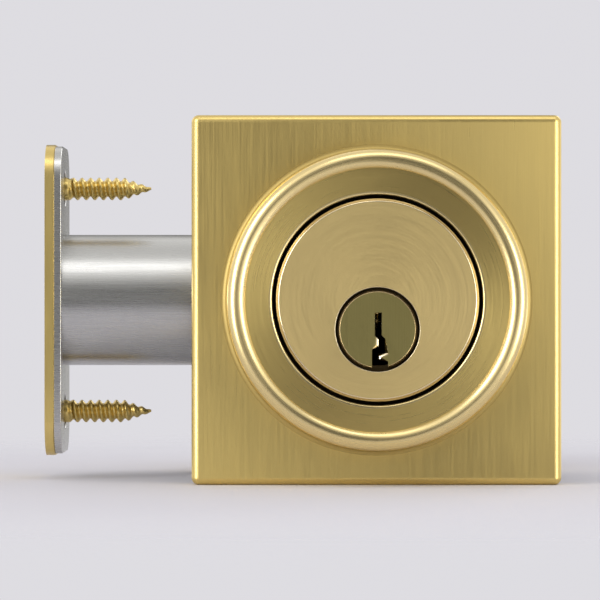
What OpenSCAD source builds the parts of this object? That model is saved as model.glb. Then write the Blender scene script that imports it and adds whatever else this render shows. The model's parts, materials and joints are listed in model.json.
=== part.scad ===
// Single-cylinder tubular deadbolt with a square rose, drawn as it sits in a door.
//
// Frame: the origin is the centre of the cross bore, halfway through the door. -Y is the keyed
// outside, +Y the room side, -X the edge that the bolt leaves by, and +Z is up. Millimetres.
// The bolt is drawn retracted, with the key slot and the thumb turn upright.

/* [Door] */
// Thickness of the door that the lock clamps
door_t = 44.5; // [41:0.5:48]
// Distance from the door's edge to the middle of the cross bore
backset = 60.3; // [60:0.1:72]
// Diameter of the cross bore through the door
cross_bore_d = 54; // [53:0.5:55]
// Diameter of the bore into the door's edge
edge_bore_d = 25.4; // [25.2:0.1:26.5]

/* [Roses] */
// Side of the square rose
rose_w = 66; // [64:0.5:80]
// How far the rose's flat front stands off the door
rose_depth = 6.5; // [6:0.25:10]
// Wall of the rose
rose_wall = 1.5; // [1:0.1:2]
// Radius of the rose's outer edges and corners
rose_edge_r = 1.3; // [0.4:0.1:3]
// Outer diameter of the round boss about the lock cylinder
boss_d = 53.2; // [52:0.2:56]
// How far the boss stands off the rose's front
boss_rise = 9; // [8:0.5:12]
// Radius of the boss's rounded rim
rim_r = 1.8; // [1:0.1:2]
// How far the dished face lies below the rim
dish_drop = 0.8; // [0.4:0.1:1.2]

/* [Lock cylinder] */
// Diameter of the cylinder's visible face
face_d = 35.8; // [34:0.2:37]
// Gap around the face
face_gap = 0.6; // [0.3:0.05:1]
// How far the face stands proud of the dish's inner edge
face_proud = 0.6; // [0:0.1:1]
// Diameter of the plug that the key turns
plug_d = 12.7; // [12:0.1:13]
// Diameter of the plug's flange, which shows round the key slot
plug_flange_d = 14; // [13.6:0.1:14.4]
// How far the plug lies below the middle of the face
plug_drop = 5.2; // [4.8:0.1:5.6]
// Distance between neighbouring pin chambers
pin_pitch = 3.81; // [3.6:0.01:3.96]
// Diameter of the tumbler pins
pin_d = 2.9; // [2.6:0.1:3]

/* [Bolt] */
// Travel of the bolt
throw = 25.4; // [22:0.1:25.4]
// Thickness of the bolt across its flats
bolt_t = 15.9; // [14:0.1:16.5]
// Length of the bolt
bolt_len = 36; // [34:0.5:38]
// Height of the faceplate
plate_h = 57.15; // [54:0.05:64]
// Width of the faceplate
plate_w = 25.4; // [25.4:0.1:30]
// Radius of the faceplate's corners
plate_corner_r = 6.35; // [1:0.05:12]
// Thickness of the faceplate
plate_t = 1.6; // [1.2:0.1:2.5]
// Distance between the faceplate's screws
edge_screw_pitch = 41.3; // [38:0.1:46]

/* [Fasteners] */
// Distance between the two long screws
screw_pitch = 32; // [31:0.5:34]
// Diameter of the long screws
screw_d = 4.8; // [4:0.1:5]
// Shank diameter of the faceplate's wood screws
edge_screw_d = 4.2; // [3.5:0.1:4.5]
// Length of the faceplate's wood screws
edge_screw_len = 19; // [16:1:26]

/* [Thumb turn] */
// Length of the turn's grip
turn_len = 34; // [28:1:40]
// Thickness of the grip
turn_t = 7.6; // [6:0.2:9]
// How far the grip stands off the rose
turn_reach = 22; // [18:1:28]

/* [Hidden] */
$fn = 72;
PIN_COUNT = 5;

// Clearances
eps = 0.01;          // overlap that makes a cut run clean through
slip = 0.05;         // running fit on a radius
loose = 0.1;         // easy fit on a radius
ease = 0.3;          // gap round a piece that only has to miss its neighbour

// Planes across the door
y_out = -door_t / 2;                 // outer door face
y_in = door_t / 2;                   // inner door face
liner_t = rose_depth - rose_wall - loose;
rose_inner_w = rose_w - 2 * rose_wall;
liner_w = rose_inner_w - 2 * loose;
snap_t = 0.5;                        // how far the ridges stand in from the rose's walls
snap_h = 0.8;
snap_len = 20;

// Exterior boss, with heights measured outwards from the door
boss_r = boss_d / 2;
cove_r = 1;
rim_top = rose_depth + boss_rise;
dish_h = rim_top - dish_drop;
dish_slope = 0.3;
face_h = dish_h - dish_slope + face_proud;
boss_hole_r = face_d / 2 + face_gap;
hole_edge = 0.5;
boss_seat_r = boss_r + cove_r + 0.6;
boss_roof = 2;

// Lock cylinder
spindle_z = -plug_drop;
plug_r = plug_d / 2;
y_face = y_out - face_h;             // outer face of the cylinder and plug
face_wall = 2.05;
y_shell = y_face + face_wall;        // front of the shell
shell_len = 24;
y_shell_end = y_shell + shell_len;
barrel_r = plug_r + 2.25;
bible_w = 7.8;
shear_z = spindle_z + plug_r;
first_pin = 6.3;                     // from the plug's face to the first pin
driver_len = 5;
key_pin_len = [4.6, 6.2, 5.2, 6.8, 5.6];
pin_gap = 0.02;                      // between a pin and what it stands on
pin_crown = 0.16;                    // bevel that lets a pin's top turn with the plug
chamber_roof_z = shear_z + 11.05;
cover_t = 1;
bible_top_z = chamber_roof_z + cover_t + 0.2;
pin_floor_z = shear_z - 8.5;
pin_bore_r = pin_d / 2 + slip;
flange_r = 24.5;
flange_t = 2.1;
liner_seat = 3;                      // height of the liner's seat under the flange
liner_hole_r = 21.2;
barrel_wall = 1.8;
housing_tail = 6.3;                  // length of the housing's barrel behind its flange
y_flange = y_out - liner_seat - slip;
y_housing_end = y_flange + housing_tail;
post_r = 4;
y_post_end = -7.2;
post_x = screw_pitch / 2;

// Plug details
plug_tail = 1.6;                     // plug left standing behind the shell
y_plug_end = y_shell_end + plug_tail;
clip_t = 0.7;
keyway_top = 3;                      // top of the key slot above the plug's middle
plug_gap = 0.45;                     // dark ring between the plug's flange and the face
drill_pin_r = 0.9;
drill_pin_x = plug_r - drill_pin_r - 2.05;
drill_pin_top = sqrt(pow(plug_r, 2) - pow(drill_pin_x + drill_pin_r, 2)) - 0.3;
tail_bore_r = plug_r - 1.35;
tail_head_r = tail_bore_r - 0.2;
tail_head_t = 1.4;
retainer_t = 0.9;
lug_half = 10;                       // half-width of the plug's lug, in degrees
lug_t = 1.4;
turn_angle = 90;                     // turn of the spindle that throws the bolt

// Spindle blade, a round bar with two flats
blade_r = 3.1;
blade_t = 2.6;

// Latch
x_plate = -backset;                  // outer face of the faceplate
edge_plate_t = 1.4;
x_tube = x_plate + plate_t + edge_plate_t;
x_tube_end = -20;
tube_r = edge_bore_d / 2 - 0.6;
tube_wall = 0.8;
bolt_r = tube_r - tube_wall - 0.2;
x_bolt_end = x_plate + bolt_len;
neck_len = 6.4;
neck_t = 10.2;
case_t = 1;
case_half = 6.4;                     // from the middle to the outside of a case plate
case_gap = case_half - case_t;       // half of the space between the plates
case_z = sqrt(pow(edge_bore_d / 2, 2) - pow(case_half, 2)) - 0.1;
x_case = x_bolt_end - 5.7;
x_case_end = 24.5;
case_in_tube_z = sqrt(pow(tube_r - tube_wall, 2) - pow(case_half, 2)) - slip;
journal_r = 4.6;
hub_r = 5.4;
arm_t = 2.8;
arm_half = 4.4;
arm_reach = 19.5;
drive_h = throw / 2;                 // height of the drive pin above the spindle
drive_z = spindle_z + drive_h;
drive_x = drive_h;                   // the drive pin's place with the bolt retracted
drive_pin_r = 1.6;
slot_clear = 0.15;
tail_bar_t = 2;
tail_half_h = 2.9;
tail_inner = arm_t / 2 + 0.2;        // from the middle to a tail bar
tail_outer = tail_inner + tail_bar_t;
tail_web_len = 9.7;
tail_foot_t = 1.5;
tail_foot_z = -6;
saw_pin_r = 3;
saw_pin_z = -1.5;
saw_pin_len = 24;
rivet_r = 1.5;
rivet_at = [[21, 6], [21, -6.5], [x_tube_end + 3, -7.6]];
tube_rivet_r = 1.3;
screw_hole_r = 4.1;

// Interior side
low_boss_r = 10.6;
low_boss_rise = 2.2;
shaft_r = 5.5;
y_turn = y_in + rose_depth + low_boss_rise + ease;
turn_hub_r = 9.4;
turn_hub_t = 3.6;
shaft_end = 6.2;                     // how far the turn's shaft runs into the door
bushing_r = 7.4;
bushing_flange_r = 9.6;
bushing_flange_t = 1;
washer_t = 0.4;
washer_rise = 0.35;
y_turn_clip = y_in - bushing_flange_t - washer_t - washer_rise - 0.15;
blade_end = y_in + 4;
thread_grip = 11;                    // length of screw held in a post
head_r = 4.3;

// ---------- Helpers ----------

// Points of an arc about [cx, cy], from angle a to angle b
function arc(cx, cy, r, a, b, steps = 6) =
    [for (i = [0:steps]) let (t = a + (b - a) * i / steps) [cx + r * cos(t), cy + r * sin(t)]];

// Outline of a rectangle with round corners, centred on the origin
function round_rect(w, h, r, steps = 6) =
    let (x = w / 2 - r, y = h / 2 - r)
    concat(arc(x, y, r, 0, 90, steps), arc(-x, y, r, 90, 180, steps),
           arc(-x, -y, r, 180, 270, steps), arc(x, -y, r, 270, 360, steps));

// Cylinder along Y from y0 to y1
module bar_y(r, y0, y1, x = 0, z = 0)
    translate([x, y1, z]) rotate([90, 0, 0]) cylinder(r = r, h = y1 - y0);

// Cone along Y from radius r0 at y0 to r1 at y1
module cone_y(r0, r1, y0, y1, x = 0, z = 0)
    translate([x, y1, z]) rotate([90, 0, 0]) cylinder(r1 = r1, r2 = r0, h = y1 - y0);

// Cylinder along X from x0 to x1
module bar_x(r, x0, x1, y = 0, z = 0)
    translate([x0, y, z]) rotate([0, 90, 0]) cylinder(r = r, h = x1 - x0);

// Outline drawn in X and Z, extruded along Y from y0 to y1
module slab_y(y0, y1)
    translate([0, y1, 0]) rotate([90, 0, 0]) linear_extrude(y1 - y0) children();

// Outline drawn in Y and Z, extruded along X from x0 to x1
module slab_x(x0, x1)
    translate([x0, 0, 0]) rotate([90, 0, 90]) linear_extrude(x1 - x0) children();

// Box given by its two corners
module span(low, high) translate(low) cube(high - low);

// Section of the spindle blade, upright, grown by a clearance
module blade_section(c)
    intersection() {
        circle(r = blade_r + c);
        square([blade_t + 2 * c, 3 * blade_r], center = true);
    }

// Section of the bolt in Y and Z, grown by a clearance
module bolt_section(c, t = bolt_t)
    intersection() {
        circle(r = bolt_r + c);
        square([t + 2 * c, 3 * bolt_r], center = true);
    }

// Cross recess cut into a screw head from its top
module cross_recess(depth, arm = 2.2, w = 0.9)
    for (a = [0, 90]) rotate([0, 0, a])
        translate([-arm, -w / 2, -depth]) cube([2 * arm, w, depth + 1]);

// Square pan with rounded front edges and corners. Its open back lies on Z = 0, where a ridge
// inside each wall holds the liner in.
module pan(w, depth, wall, edge_r) {
    side = concat([[-w / 2, 0], [w / 2, 0]], arc(w / 2 - edge_r, depth - edge_r, edge_r, 0, 90),
                  arc(edge_r - w / 2, depth - edge_r, edge_r, 90, 180));
    inner = w - 2 * wall;
    difference() {
        intersection() {
            linear_extrude(depth) polygon(round_rect(w, w, edge_r));
            rotate([90, 0, 0]) translate([0, 0, -w]) linear_extrude(2 * w) polygon(side);
            rotate([90, 0, 90]) translate([0, 0, -w]) linear_extrude(2 * w) polygon(side);
        }
        translate([-inner / 2, -inner / 2, -1]) cube([inner, inner, depth - wall + 1]);
    }
    for (a = [0:90:270]) rotate([0, 0, a]) translate([inner / 2 - snap_t, -snap_len / 2, 0])
        cube([snap_t + eps, snap_len, snap_h]);
}

// Block that fills a pan, stepped at its back edge behind the pan's ridges
module liner_block() {
    step_w = liner_w - 2 * snap_t;
    translate([-step_w / 2, -step_w / 2, 0]) cube([step_w, step_w, snap_h + loose + eps]);
    translate([-liner_w / 2, -liner_w / 2, snap_h + loose])
        cube([liner_w, liner_w, liner_t - snap_h - loose]);
}

// Turns a shape drawn on Z = 0, pointing up, so that it stands outwards from a door face
module on_outer_face() translate([0, y_out, 0]) rotate([90, 0, 0]) children();
module on_inner_face() translate([0, y_in, 0]) rotate([-90, 0, 0]) children();

// ---------- Exterior trim ----------

// Half-section of the boss: cove, wall, rounded rim, dish and the edge of its hole
function boss_profile() =
    let (rim_c = boss_r - rim_r, fall = acos(1 - dish_drop / rim_r))
    concat(
        [[boss_seat_r, rose_depth - rose_wall], [boss_seat_r, rose_depth]],
        arc(boss_r + cove_r, rose_depth + cove_r, cove_r, 270, 180),
        arc(rim_c, rim_top - rim_r, rim_r, 0, 90 + fall, 12),
        [[boss_hole_r + hole_edge, dish_h - dish_slope]],
        arc(boss_hole_r + hole_edge, dish_h - dish_slope - hole_edge, hole_edge, 90, 180, 4),
        [[boss_hole_r, dish_h - dish_slope - boss_roof],
         [boss_r - rose_wall, dish_h - dish_slope - boss_roof],
         [boss_r - rose_wall, rose_depth - rose_wall]]);

module exterior_rose()
    color("goldenrod") on_outer_face() {
        difference() {
            pan(rose_w, rose_depth, rose_wall, rose_edge_r);
            cylinder(r = boss_seat_r, h = 3 * rose_depth, center = true);
        }
        rotate_extrude() polygon(boss_profile());
    }

// Die-cast filler in the rose: it carries the housing's flange and bears on the door
module exterior_liner()
    color("silver") on_outer_face() difference() {
        liner_block();
        translate([0, 0, -1]) cylinder(r = liner_hole_r, h = liner_t + 2);
        translate([0, 0, liner_seat]) cylinder(r = flange_r + ease, h = liner_t);
        corner_pockets();
    }

// Weight-saving pockets in a liner's four corners, open to the door
module corner_pockets() {
    reach = liner_w / 2 - 2;
    for (sx = [-1, 1], sz = [-1, 1]) intersection() {
        translate([sx > 0 ? 1 : -reach, sz > 0 ? 1 : -reach, -1])
            cube([reach - 1, reach - 1, 1 + liner_seat - 1]);
        difference() {
            translate([-reach, -reach, -1]) cube([2 * reach, 2 * reach, liner_seat]);
            translate([0, 0, -2]) cylinder(r = cross_bore_d / 2 + 1.5, h = 2 * liner_seat);
        }
    }
}

// Steel ring that centres the trim in the cross bore
module bore_ring()
    color("lightgray") difference() {
        bar_y(cross_bore_d / 2 - ease, y_out, y_out + 6);
        bar_y(cross_bore_d / 2 - ease - 1, y_out - 1, y_out + 7);
    }

// ---------- Lock cylinder ----------

// Outline of the shell: a barrel about the plug with the pin block standing on it
module shell_outline(c) {
    translate([0, spindle_z]) circle(r = barrel_r + c);
    translate([-bible_w / 2 - c, spindle_z])
        square([bible_w + 2 * c, bible_top_z - spindle_z + c]);
}

module cylinder_housing()
    color("goldenrod") difference() {
        union() {
            cone_y(face_d / 2 - hole_edge, face_d / 2, y_face, y_face + hole_edge);
            bar_y(face_d / 2, y_face + hole_edge, y_flange - flange_t + eps);
            bar_y(flange_r, y_flange - flange_t, y_flange);
            slab_y(y_flange - eps, y_housing_end) shell_outline(barrel_wall);
            for (s = [-1, 1]) bar_y(post_r, y_flange - eps, y_post_end, s * post_x);
        }
        bar_y(plug_flange_d / 2 + plug_gap, y_face - 1, y_shell + eps, z = spindle_z);
        slab_y(y_shell, y_housing_end + 1) shell_outline(slip);
        for (s = [-1, 1])
            bar_y(screw_d / 2 + loose, y_post_end - thread_grip - 3, y_post_end + 1, s * post_x);
    }

function pin_y(i) = y_face + first_pin + i * pin_pitch;

module cylinder_shell()
    color("darkgoldenrod") difference() {
        slab_y(y_shell, y_shell_end) shell_outline(0);
        bar_y(plug_r + slip, y_shell - 1, y_shell_end + 1, z = spindle_z);
        for (i = [0:PIN_COUNT - 1]) translate([0, pin_y(i), spindle_z])
            cylinder(r = pin_bore_r, h = 30);
        // Seat of the cover that closes the chambers
        span([-bible_w / 2 + 1.3, y_shell + 2, chamber_roof_z],
             [bible_w / 2 - 1.3, y_shell_end + 1, bible_top_z + 1]);
        // Groove for the clip that holds the shell in the housing
        difference() {
            bar_y(barrel_r + 1, y_housing_end, y_housing_end + 1.1, z = spindle_z);
            bar_y(barrel_r - 0.6, y_housing_end - 1, y_housing_end + 2, z = spindle_z);
            span([-20, y_housing_end - 1, spindle_z + 2], [20, y_housing_end + 2, 20]);
        }
    }

// Horseshoe clip behind the housing
module shell_clip() {
    inner = barrel_r - 0.6 + slip;
    outer = inner + 3.2;
    color("lightgray") slab_y(y_housing_end + slip, y_housing_end + 1.05) translate([0, spindle_z])
        difference() {
            union() {
                circle(r = outer);
                translate([-outer, 0]) square([2 * outer, 1.9]);
            }
            circle(r = inner);
            translate([-inner, 0]) square([2 * inner, 20]);
            translate([-20, 1.9]) square([40, 40]);
        }
}

module chamber_cover()
    color("darkgoldenrod")
        span([-bible_w / 2 + 1.35, y_shell + 2.05, chamber_roof_z],
             [bible_w / 2 - 1.35, y_shell_end, chamber_roof_z + cover_t]);

// Warded key slot, from the plug's lower edge to above its middle
module keyway_outline() {
    low = -plug_flange_d;
    translate([0, spindle_z]) polygon([
        [-0.5, keyway_top], [0.75, keyway_top], [0.75, -1], [1.35, -1.6], [1.35, -4],
        [0.1, -4.5], [0.1, -5.4], [1.85, -5.6], [1.85, low], [-1, low], [-1, -3.5],
        [0.3, -3], [0.3, -1.9], [-0.5, -1.1]]);
}

module cylinder_plug()
    color("darkgoldenrod") difference() {
        union() {
            cone_y(plug_flange_d / 2 - 0.4, plug_flange_d / 2, y_face, y_face + 0.4, z = spindle_z);
            bar_y(plug_flange_d / 2, y_face + 0.4, y_shell - slip, z = spindle_z);
            bar_y(plug_r, y_shell - 1, y_plug_end, z = spindle_z);
        }
        slab_y(y_face - 1, y_shell_end - 2.5) keyway_outline();
        for (i = [0:PIN_COUNT - 1]) translate([0, pin_y(i), pin_floor_z])
            cylinder(r = pin_bore_r, h = 20);
        for (s = [-1, 1])
            translate([s * drill_pin_x, y_shell + 1.6, spindle_z - drill_pin_top - loose])
                cylinder(r = drill_pin_r + slip, h = plug_d);
        // Groove for the clip behind the shell
        difference() {
            bar_y(plug_r + 1, y_shell_end, y_shell_end + clip_t + loose, z = spindle_z);
            bar_y(plug_r - 0.75, y_shell_end - 1, y_shell_end + 2, z = spindle_z);
        }
        // Socket for the tailpiece's head, with a lug left in it
        difference() {
            bar_y(tail_bore_r, y_plug_end - tail_head_t - retainer_t - 0.3, y_plug_end + 1,
                  z = spindle_z);
            slab_y(y_plug_end - tail_head_t - retainer_t - 1, y_plug_end - retainer_t - 0.1)
                translate([0, spindle_z])
                    sector(tail_bore_r + 1, -lug_half, lug_half, tail_bore_r - lug_t);
        }
    }

// Part of a ring between two angles, outside radius inner
module sector(r, a, b, inner)
    difference() {
        polygon(concat([[0, 0]], arc(0, 0, r, a, b, 12)));
        circle(r = inner);
    }

module drill_pins()
    color("gray") for (s = [-1, 1])
        translate([s * drill_pin_x, y_shell + 1.6, spindle_z - drill_pin_top])
            cylinder(r = drill_pin_r, h = 2 * drill_pin_top);

// Split ring in the plug's groove
module plug_clip()
    color("lightgray") slab_y(y_shell_end + slip, y_shell_end + slip + clip_t)
        translate([0, spindle_z]) difference() {
            circle(r = barrel_r - 0.6);
            circle(r = plug_r - 0.75 + slip);
            translate([-2.5, -20]) square([5, 20]);
        }

// Tailpiece: a head in the plug, free to lag it by a quarter turn, and a blade to the turn
module tailpiece()
    color("silver") {
        head_y = y_plug_end - retainer_t - tail_head_t - 0.15;
        difference() {
            bar_y(tail_head_r, head_y, head_y + tail_head_t, z = spindle_z);
            slab_y(head_y - 1, head_y + 3) translate([0, spindle_z])
                sector(tail_head_r + 1, -turn_angle - lug_half - 1, lug_half + 1,
                       tail_bore_r - lug_t - loose);
        }
        slab_y(head_y + tail_head_t - eps, blade_end) translate([0, spindle_z]) blade_section(0);
    }

module tail_retainer()
    color("lightgray") difference() {
        bar_y(tail_bore_r - eps, y_plug_end - retainer_t, y_plug_end, z = spindle_z);
        bar_y(blade_r + ease, y_plug_end - 2, y_plug_end + 1, z = spindle_z);
    }

// Lower pin, with the tapered tip that rides the key
module key_pin(i)
    color("goldenrod") translate([0, pin_y(i), shear_z - pin_gap - key_pin_len[i]])
        rotate_extrude() polygon([[0, 0], [0.55, 0], [pin_d / 2, 1.1],
                                  [pin_d / 2, key_pin_len[i] - pin_crown],
                                  [pin_d / 4, key_pin_len[i]], [0, key_pin_len[i]]]);

// Upper pin, which blocks the shear line when no key lifts it
module driver_pin(i)
    color("silver") translate([0, pin_y(i), shear_z + pin_gap])
        cylinder(r = pin_d / 2, h = driver_len);

// Coil spring standing on Z = 0, as one swept tube
module coil(mean_r, wire_r, turns, length, steps = 10, sides = 5) {
    last = turns * steps;
    points = [for (i = [0:last], j = [0:sides - 1])
        let (a = 360 * i / steps, b = 360 * j / sides, r = mean_r + wire_r * cos(b))
        [r * cos(a), r * sin(a), wire_r + (length - 2 * wire_r) * i / last + wire_r * sin(b)]];
    skin = [for (i = [0:last - 1], j = [0:sides - 1])
        let (k = (j + 1) % sides, p = i * sides, q = p + sides) each
        [[p + j, q + k, q + j], [p + j, p + k, q + k]]];
    ends = [[for (j = [sides - 1:-1:0]) j], [for (j = [0:sides - 1]) last * sides + j]];
    polyhedron(points = points, faces = concat(skin, ends));
}

module pin_spring(i) {
    foot = shear_z + driver_len + 2 * pin_gap;
    color("lightgray") translate([0, pin_y(i), foot])
        coil(pin_d / 2 - 0.35, 0.18, 6, chamber_roof_z - foot - pin_gap);
}

// ---------- Bolt and latch case ----------

module faceplate()
    color("goldenrod") difference() {
        slab_x(x_plate, x_plate + plate_t) polygon(round_rect(plate_w, plate_h, plate_corner_r));
        slab_x(x_plate - 1, x_plate + plate_t + 1) bolt_section(ease);
        for (s = [-1, 1]) translate([x_plate, 0, s * edge_screw_pitch / 2]) rotate([0, 90, 0]) {
            translate([0, 0, -1]) cylinder(r = edge_screw_d / 2 + 0.3, h = plate_t + 2);
            translate([0, 0, -eps]) cylinder(r1 = 4.5, r2 = edge_screw_d / 2 + 0.3, h = plate_t);
        }
    }

module edge_plate()
    color("silver") difference() {
        slab_x(x_plate + plate_t, x_tube)
            polygon(round_rect(plate_w - 0.6, plate_h - 0.6, plate_corner_r - 0.3));
        slab_x(x_plate, x_tube + 1) bolt_section(ease);
        for (s = [-1, 1])
            bar_x(edge_screw_d / 2 + 1.2, x_plate, x_tube + 1, z = s * edge_screw_pitch / 2);
    }

// Countersunk wood screws that hold the latch in the door's edge
module edge_screws()
    color("goldenrod") for (s = [-1, 1])
        translate([x_plate, 0, s * edge_screw_pitch / 2]) rotate([0, 90, 0]) difference() {
            union() {
                translate([0, 0, 0.1]) cylinder(r1 = 4.05, r2 = edge_screw_d / 2, h = 1.5);
                translate([0, 0, 1.5]) cylinder(r = edge_screw_d / 2, h = edge_screw_len - 5.5);
                translate([0, 0, edge_screw_len - 4 - eps])
                    cylinder(r1 = edge_screw_d / 2, r2 = 0.3, h = 4);
            }
            translate([0, 0, 0.1]) mirror([0, 0, 1]) cross_recess(1.1, 1.9, 0.8);
        }

module latch_tube()
    color("silver") difference() {
        bar_x(tube_r, x_tube, x_tube_end);
        bar_x(tube_r - tube_wall, x_tube - 1, x_tube_end + 1);
        bar_y(tube_rivet_r + slip, -tube_r - 1, tube_r + 1, x_tube_end - 2.6, 0);
    }

// Side of the latch case: narrow where it enters the tube, round-cornered behind the spindle
module case_plate(y0) {
    nose = x_tube_end + 0.6;
    color("lightgray") difference() {
        slab_y(y0, y0 + case_t) polygon(concat(
            [[x_case, -case_in_tube_z], [nose, -case_in_tube_z], [nose + 1.2, -case_z]],
            arc(x_case_end - 4, 4 - case_z, 4, 270, 360),
            arc(x_case_end - 4, case_z - 4, 4, 0, 90),
            [[nose + 1.2, case_z], [nose, case_in_tube_z], [x_case, case_in_tube_z]]));
        bar_y(journal_r + slip, y0 - 1, y0 + 2, z = spindle_z);
        for (s = [-1, 1]) bar_y(screw_hole_r, y0 - 1, y0 + 2, s * post_x);
        for (p = rivet_at) bar_y(rivet_r + slip, y0 - 1, y0 + 2, p[0], p[1]);
        bar_y(tube_rivet_r + slip, y0 - 1, y0 + 2, x_tube_end - 2.6, 0);
    }
}

// Shouldered rivets that hold the two case plates apart
module case_rivets()
    color("silver") for (p = rivet_at) {
        bar_y(rivet_r + 0.7, -case_gap + slip, case_gap - slip, p[0], p[1]);
        bar_y(rivet_r, -case_half - 0.4, case_half + 0.4, p[0], p[1]);
        for (s = [-1, 1])
            bar_y(rivet_r + 0.6, s * (case_half + 0.35) - 0.3, s * (case_half + 0.35) + 0.3,
                  p[0], p[1]);
    }

// Short rivets that pin the case plates in the end of the tube
module tube_rivets()
    color("silver") for (s = [-1, 1])
        bar_y(tube_rivet_r, s > 0 ? case_gap + slip : -tube_r + slip,
              s > 0 ? tube_r - slip : -case_gap - slip, x_tube_end - 2.6, 0);

// Leaf that drags on the hub so that the bolt stays where it is put
module brake_spring() {
    tail = rivet_at[1];
    color("lightgray") slab_y(-3.2, 3.2) difference() {
        union() {
            translate(tail) circle(r = rivet_r + 1.3);
            polygon([[tail[0], tail[1] - rivet_r - 1.3], [tail[0], tail[1] - rivet_r - 0.8],
                     [4.9, spindle_z - 3.4], [4.7, spindle_z - 3.85]]);
        }
        translate(tail) circle(r = rivet_r + 0.75);
    }
}

// Place of the drive pin in the arm's own frame after t degrees: [across, along]. The pin
// runs straight while the arm swings.
function fork_lag(t) =
    let (a = turn_angle / 2 - t, x = drive_h * (1 - 2 * t / turn_angle))
    [x * cos(a) - drive_h * sin(a), x * sin(a) + drive_h * cos(a)];

// Point on the fork's wall, square to the pin's path
function fork_wall(t) =
    let (p = fork_lag(t), d = fork_lag(t + 0.1) - fork_lag(t - 0.1))
    p + (drive_pin_r + slot_clear) * [-d[1], d[0]] / norm(d);

module fork_slot() {
    steps = 12;
    side = [for (i = [0:steps]) fork_wall(turn_angle / 2 * i / steps)];
    polygon(concat([[side[0][0], arm_reach + 1]], side,
                   [for (i = [steps - 1:-1:0]) [-side[i][0], side[i][1]]],
                   [[-side[0][0], arm_reach + 1]]));
}

module drive_cam()
    color("darkgray") difference() {
        union() {
            bar_y(journal_r, -case_half - 0.5, case_half + 0.5, z = spindle_z);
            bar_y(hub_r, -case_gap + loose, case_gap - loose, z = spindle_z);
            slab_y(-arm_t / 2, arm_t / 2) translate([0, spindle_z]) rotate(-turn_angle / 2)
                difference() {
                    polygon([[-arm_half, 0], [arm_half, 0], [arm_half, arm_reach - 1.2],
                             [arm_half - 1.2, arm_reach], [1.2 - arm_half, arm_reach],
                             [-arm_half, arm_reach - 1.2]]);
                    fork_slot();
                }
        }
        slab_y(-case_half - 1, case_half + 1) translate([0, spindle_z]) blade_section(0.12);
    }

module dead_bolt() {
    x_neck = x_bolt_end - neck_len;
    nose = 1.2;
    color("silver") difference() {
        union() {
            slab_x(x_plate + nose, x_neck) bolt_section(0);
            slab_x(x_plate, x_plate + nose + eps) bolt_section(-0.6);
            slab_x(x_neck - eps, x_bolt_end) bolt_section(0, neck_t);
        }
        // Slot for the tail and the hole of the pin that joins them
        span([x_bolt_end - tail_web_len + 0.2, -tail_outer - slip, drive_z - tail_half_h - slip],
             [x_bolt_end + 1, tail_outer + slip, bolt_r + 1]);
        bar_y(rivet_r + slip, -bolt_t, bolt_t, x_bolt_end - 5, drive_z);
        bar_x(saw_pin_r + slip, x_bolt_end - saw_pin_len - 4, x_bolt_end + 1, z = saw_pin_z);
    }
}

// Hardened roller, loose in the bolt, which turns under a saw
module saw_pin()
    color("dimgray") {
        x0 = x_bolt_end - saw_pin_len - 3.6;
        bar_x(saw_pin_r, x0 + 0.6, x0 + saw_pin_len - 0.6, z = saw_pin_z);
        for (s = [0, 1]) translate([x0 + s * saw_pin_len, 0, saw_pin_z])
            rotate([0, s ? -90 : 90, 0])
                cylinder(r1 = saw_pin_r - 0.6, r2 = saw_pin_r, h = 0.6 + eps);
    }

// Clevis that joins the bolt to the cam: two bars, a web in the bolt and a foot behind it
module bolt_tail()
    color("gray") difference() {
        union() {
            span([x_bolt_end - tail_web_len + 0.3, -tail_outer, drive_z - tail_half_h],
                 [x_bolt_end + 3, tail_outer, drive_z + tail_half_h]);
            for (s = [-1, 1]) {
                y0 = s > 0 ? tail_inner : -tail_outer;
                span([x_bolt_end, y0, drive_z - tail_half_h],
                     [drive_x, y0 + tail_bar_t, drive_z + tail_half_h]);
                bar_y(tail_half_h, y0, y0 + tail_bar_t, drive_x, drive_z);
            }
            span([x_bolt_end + slip, -tail_outer - 0.6, tail_foot_z],
                 [x_bolt_end + slip + tail_foot_t, tail_outer + 0.6, drive_z + tail_half_h]);
        }
        bar_y(rivet_r + slip, -bolt_t, bolt_t, x_bolt_end - 5, drive_z);
        bar_y(drive_pin_r + slip, -bolt_t, bolt_t, drive_x, drive_z);
    }

// The pin that the cam's fork drives, and the pin that holds the tail in the bolt
module bolt_tail_pins()
    color("silver") {
        bar_y(drive_pin_r, -tail_outer - 0.6, tail_outer + 0.6, drive_x, drive_z);
        for (s = [-1, 1])
            bar_y(drive_pin_r + 0.7, s * (tail_outer + 0.6) - 0.5, s * (tail_outer + 0.6) + 0.5,
                  drive_x, drive_z);
        bar_y(rivet_r, slip - neck_t / 2, neck_t / 2 - slip, x_bolt_end - 5, drive_z);
    }

// ---------- Interior trim ----------

module interior_rose()
    color("goldenrod") difference() {
        on_inner_face() {
            pan(rose_w, rose_depth, rose_wall, rose_edge_r);
            translate([0, -spindle_z, 0]) rotate_extrude() polygon(concat(
                [[shaft_r + loose, rose_depth - rose_wall / 2],
                 [low_boss_r, rose_depth - rose_wall / 2]],
                arc(low_boss_r - 1, rose_depth + low_boss_rise - 1, 1, 0, 90),
                [[shaft_r + loose, rose_depth + low_boss_rise]]));
        }
        bar_y(shaft_r + loose, y_in, y_turn + 1, z = spindle_z);
        for (s = [-1, 1]) {
            bar_y(screw_d / 2 + ease, y_in, y_turn, s * post_x);
            cone_y(screw_d / 2 + ease, head_r + loose, y_in + rose_depth - 1,
                   y_in + rose_depth + eps, s * post_x);
        }
    }

module interior_liner()
    color("silver") difference() {
        on_inner_face() difference() {
            liner_block();
            corner_pockets();
        }
        bar_y(bushing_r + slip, y_in - 1, y_turn, z = spindle_z);
        for (s = [-1, 1]) bar_y(screw_d / 2 + 0.2, y_in - 1, y_turn, s * post_x);
    }

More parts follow.
